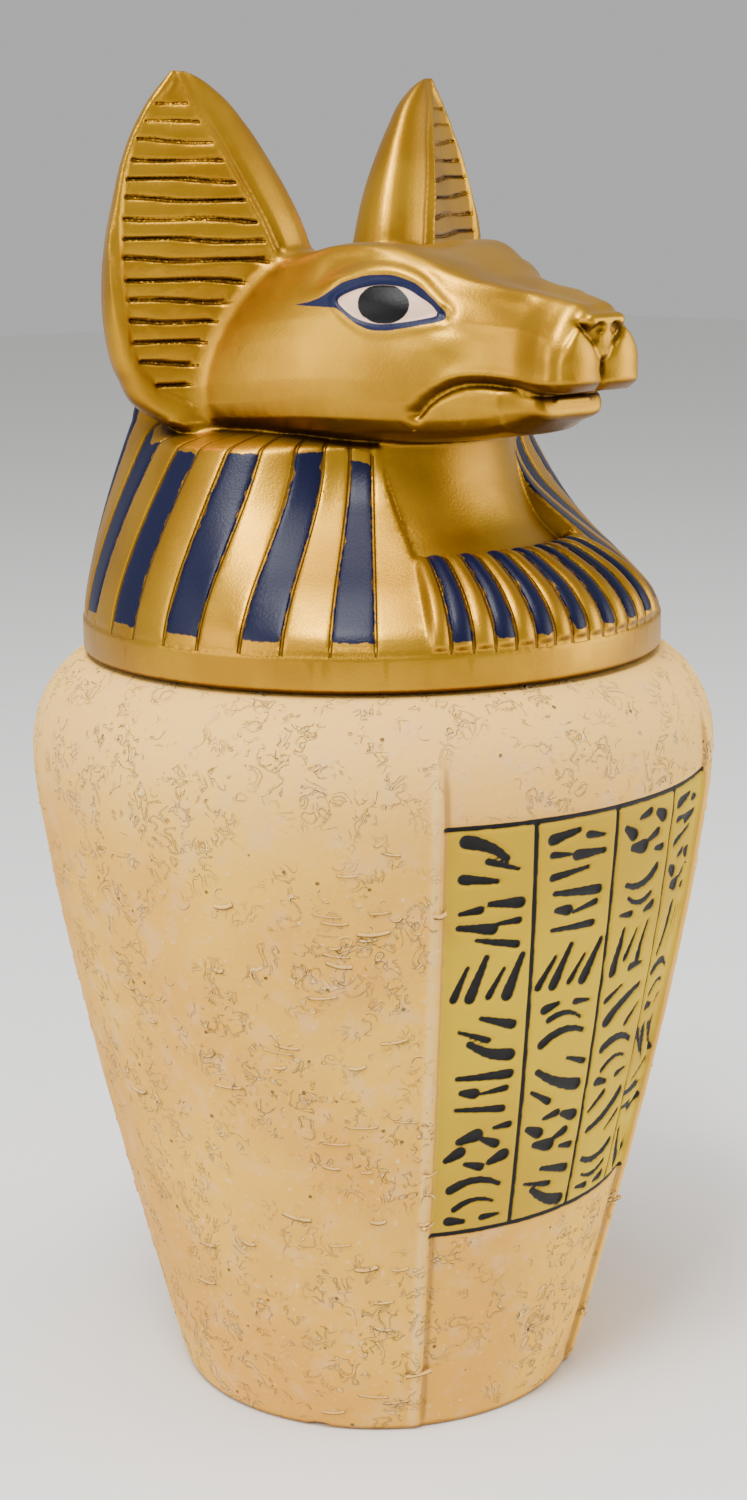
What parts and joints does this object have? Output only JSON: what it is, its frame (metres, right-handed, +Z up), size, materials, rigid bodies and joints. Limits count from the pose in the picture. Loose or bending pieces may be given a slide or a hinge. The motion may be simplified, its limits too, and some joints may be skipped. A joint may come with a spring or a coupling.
{
  "type": "canopic jar with jackal-headed lid",
  "caption": "Souvenir canopic jar: hollow tapered stone-look jar with an inscribed yellow front panel and a gold and navy jackal-headed lid that lifts off.",
  "frame": {"origin": "centre of the jar's underside", "axes": "+Z up along the jar's axis, -Y towards the jackal's snout and the inscribed front, +X towards the jackal's left ear"},
  "size_m": [0.1196, 0.1187, 0.23],
  "materials": {
    "cast_stone_resin": "matt cold-cast resin, textured like pale stone, dry-brushed, with a yellow painted front panel",
    "gold_painted_resin": "satin metallic gold paint over cast resin, with dark wash in the hollows and navy stripes"
  },
  "bodies": {
    "root": {"jar": "cast_stone_resin", "lid": "gold_painted_resin"}
  },
  "joints": []
}
